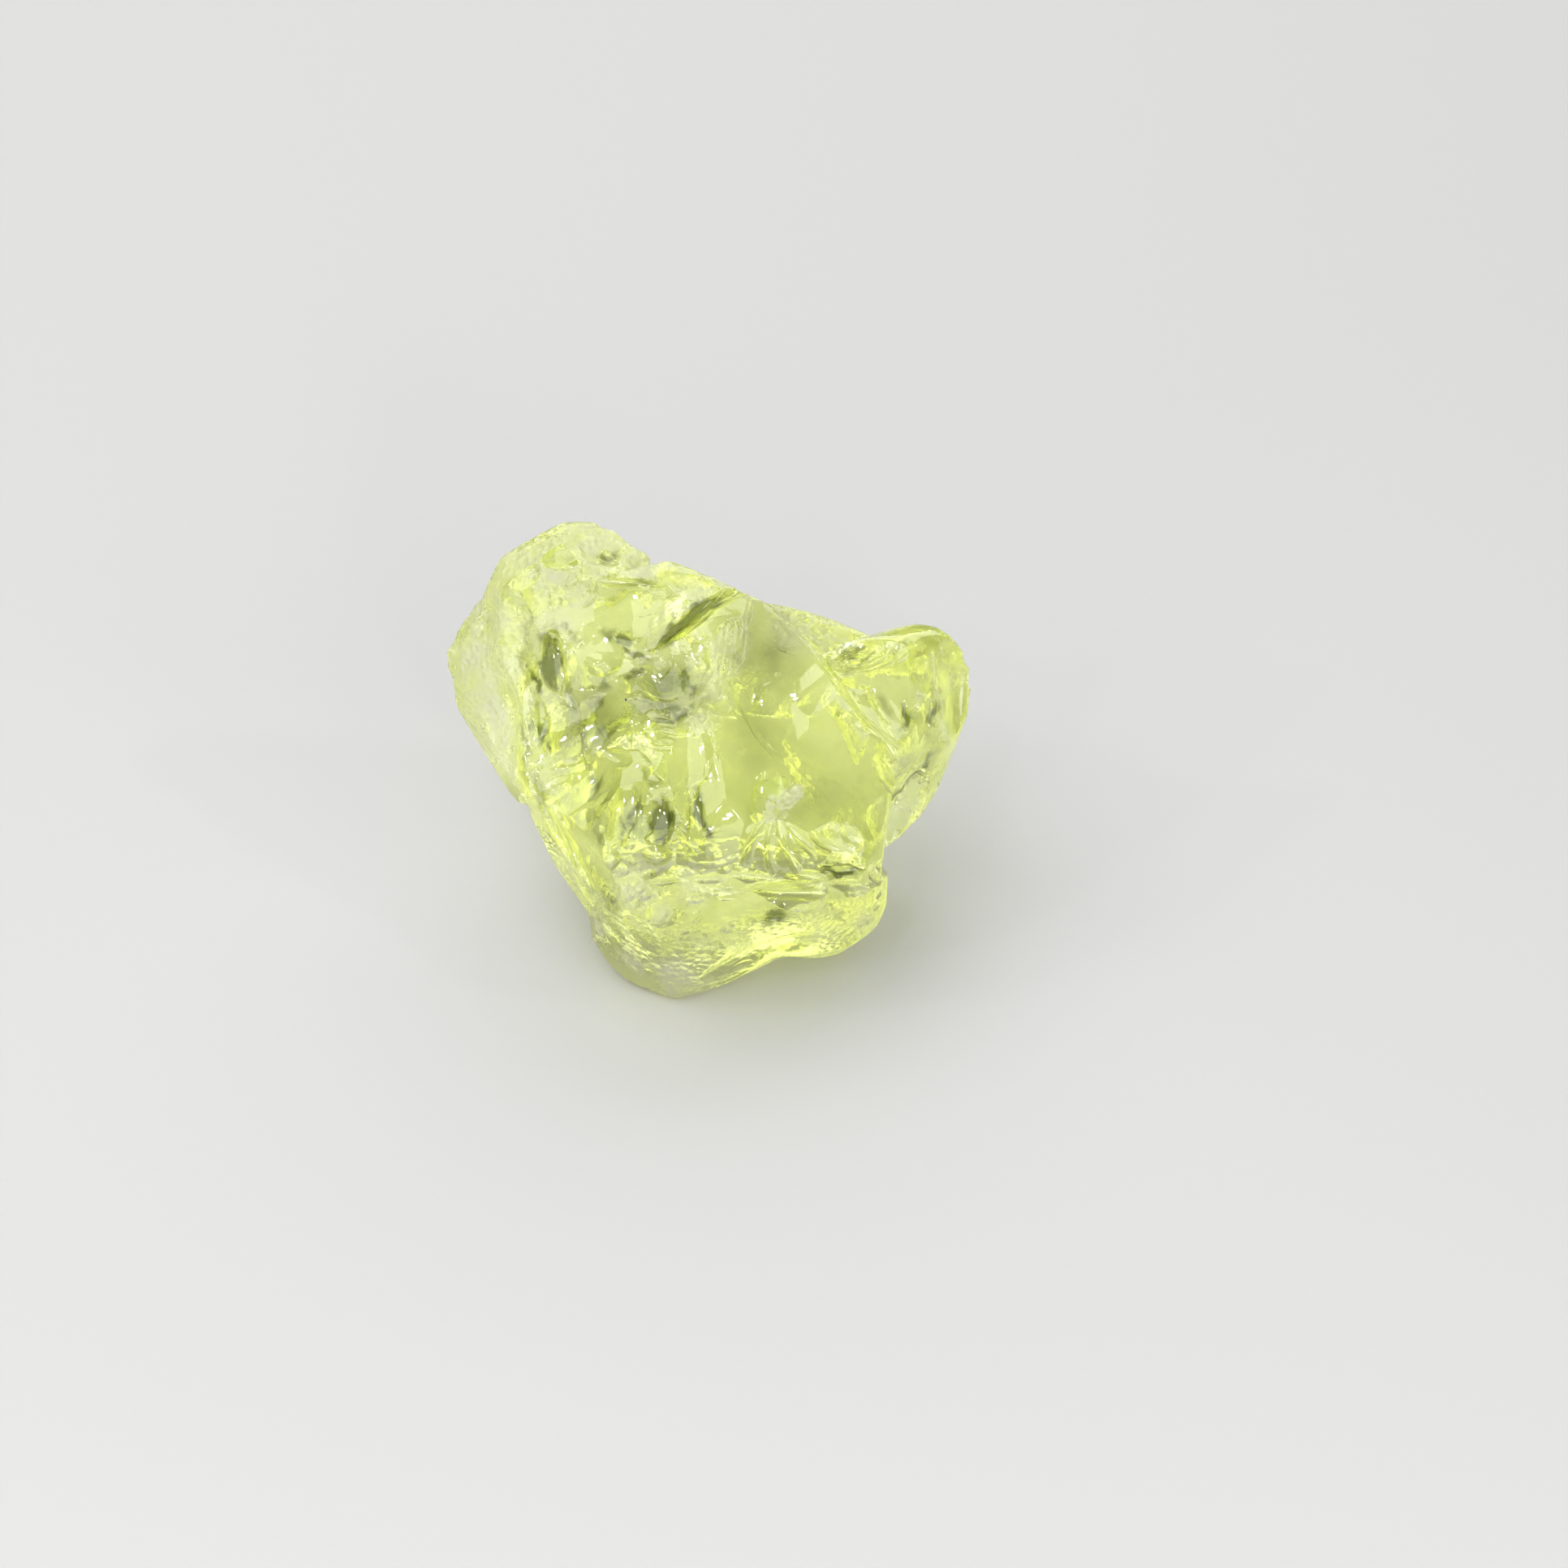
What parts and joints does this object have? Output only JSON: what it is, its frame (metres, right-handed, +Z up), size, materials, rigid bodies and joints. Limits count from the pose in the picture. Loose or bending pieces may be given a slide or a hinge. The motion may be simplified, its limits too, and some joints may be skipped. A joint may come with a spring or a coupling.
{
  "type": "raw quartz crystal lump",
  "caption": "Rough broken lump of see-through yellow-green quartz with bowl-shaped scars and sharp ridges, for display.",
  "frame": {"origin": "middle of the bounding box in plan, at the height of the flat face the stone rests on", "axes": "+X along the longest extent, to the right as the best side is looked at; +Y away from that side, towards the back; +Z up"},
  "size_m": [0.0364, 0.0274, 0.024],
  "materials": {
    "prasiolite": "clear yellow-green crystal, glossy on the scars and frosted on crushed ridges"
  },
  "bodies": {
    "root": {"prasiolite": "prasiolite"}
  },
  "joints": []
}
